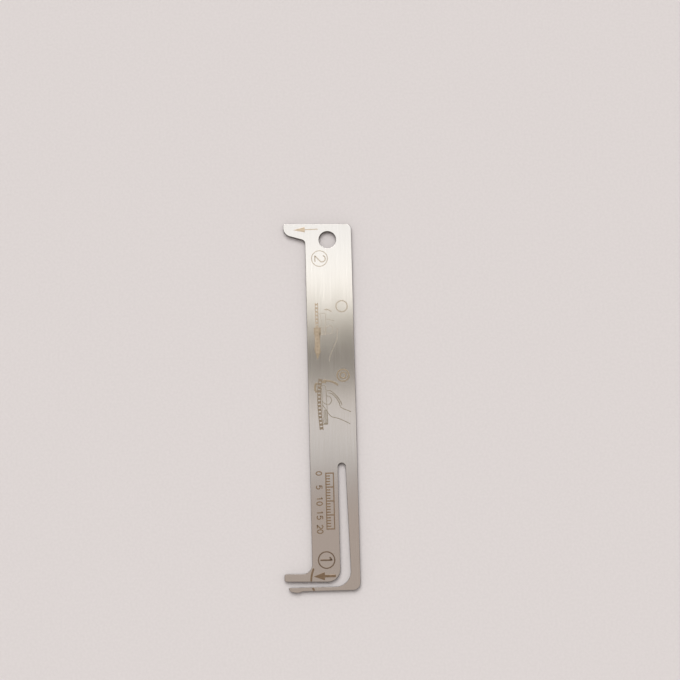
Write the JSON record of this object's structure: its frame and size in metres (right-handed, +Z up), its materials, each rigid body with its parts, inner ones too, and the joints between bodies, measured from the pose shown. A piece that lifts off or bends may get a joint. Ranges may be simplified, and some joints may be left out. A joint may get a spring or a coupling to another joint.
{
  "type": "chain wear gauge",
  "caption": "Flat steel gauge that shows how far a half-inch roller chain has stretched: a tooth at one end, a rigid prong with a sprung hooked arm at the other.",
  "frame": {"origin": "middle of the part's box, on the underside of the plate", "axes": "+Z up out of the marked face, +Y along the blade from the prongs to the tooth, -X the side that the tooth and the prongs point to"},
  "size_m": [0.0272, 0.1348, 0.0015],
  "materials": {
    "steel": "brushed along the blade, satin",
    "etched_mark": "laser-annealed, matt brown"
  },
  "bodies": {
    "root": {"gauge_plate": "steel"}
  },
  "joints": []
}
